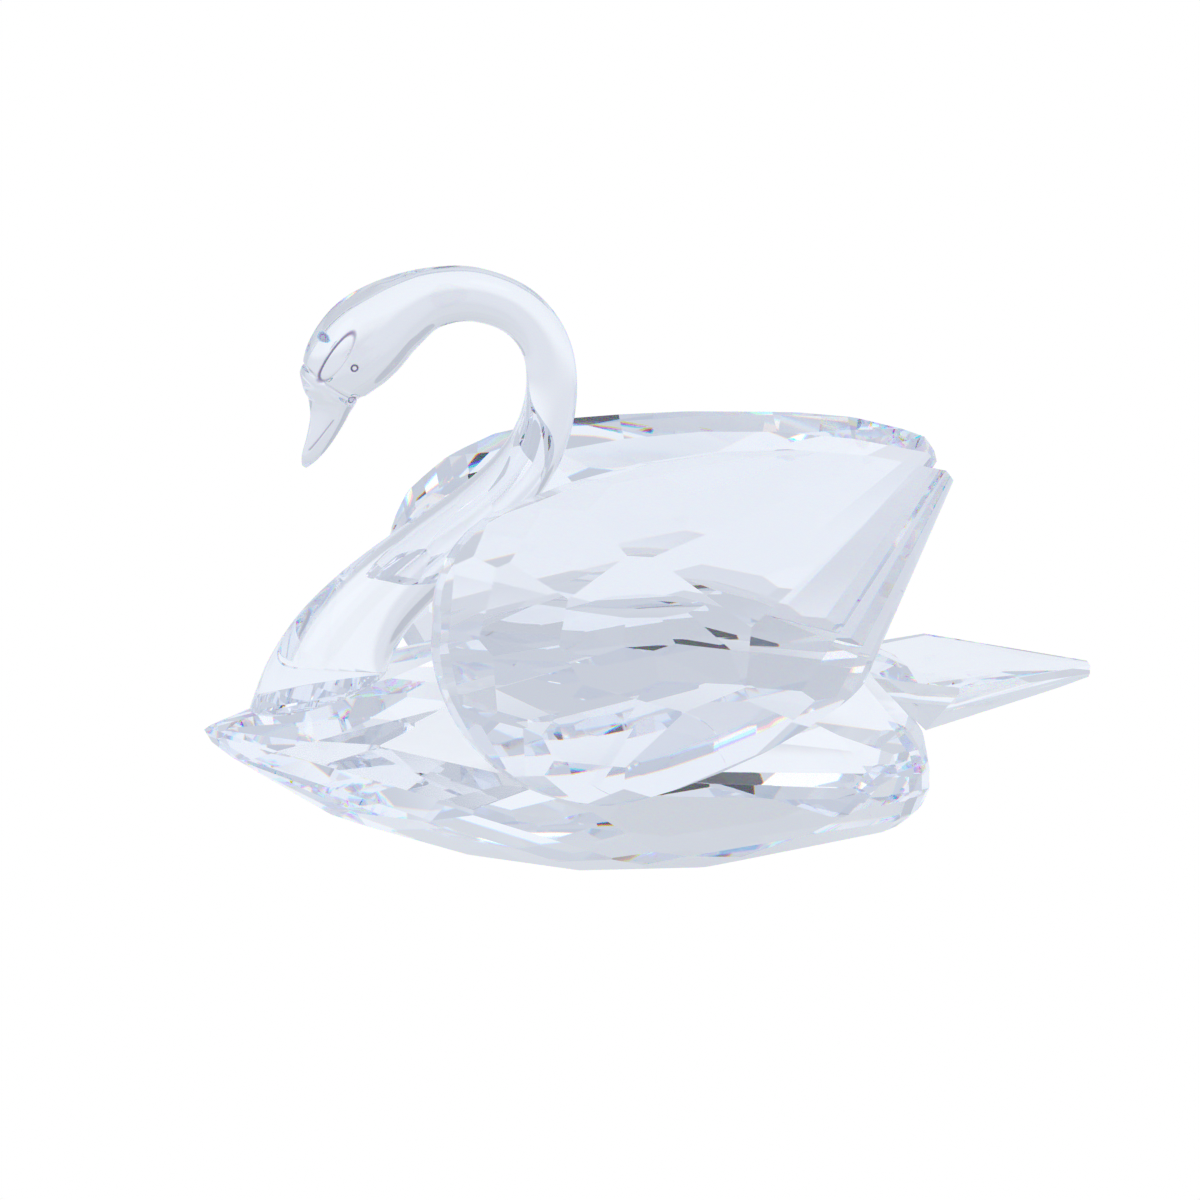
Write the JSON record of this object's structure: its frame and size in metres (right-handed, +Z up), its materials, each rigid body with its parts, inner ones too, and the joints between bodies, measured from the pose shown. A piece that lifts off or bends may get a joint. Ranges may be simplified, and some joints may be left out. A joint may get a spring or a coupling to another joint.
{
  "type": "crystal swan figurine",
  "caption": "Swan figurine of cut clear crystal: a faceted boat-shaped body with a smooth curved neck, bonded faceted wings and a pointed tail; it stands on a flat ground base.",
  "frame": {"origin": "middle of the bounding box's bottom face, on the plane the swan stands on", "axes": "+Z up, the swan faces -X, its left side is -Y"},
  "size_m": [0.0961, 0.0404, 0.0646],
  "materials": {
    "cut_crystal": "polished flat facets",
    "moulded_crystal": "smooth fire-polished surface",
    "clear_adhesive": "clear cured film"
  },
  "bodies": {
    "root": {"body": "cut_crystal", "neck": "moulded_crystal", "left_wing": "cut_crystal", "right_wing": "cut_crystal", "tail": "cut_crystal", "neck_bond": "clear_adhesive", "left_wing_bond": "clear_adhesive", "right_wing_bond": "clear_adhesive", "tail_bond": "clear_adhesive"}
  },
  "joints": []
}
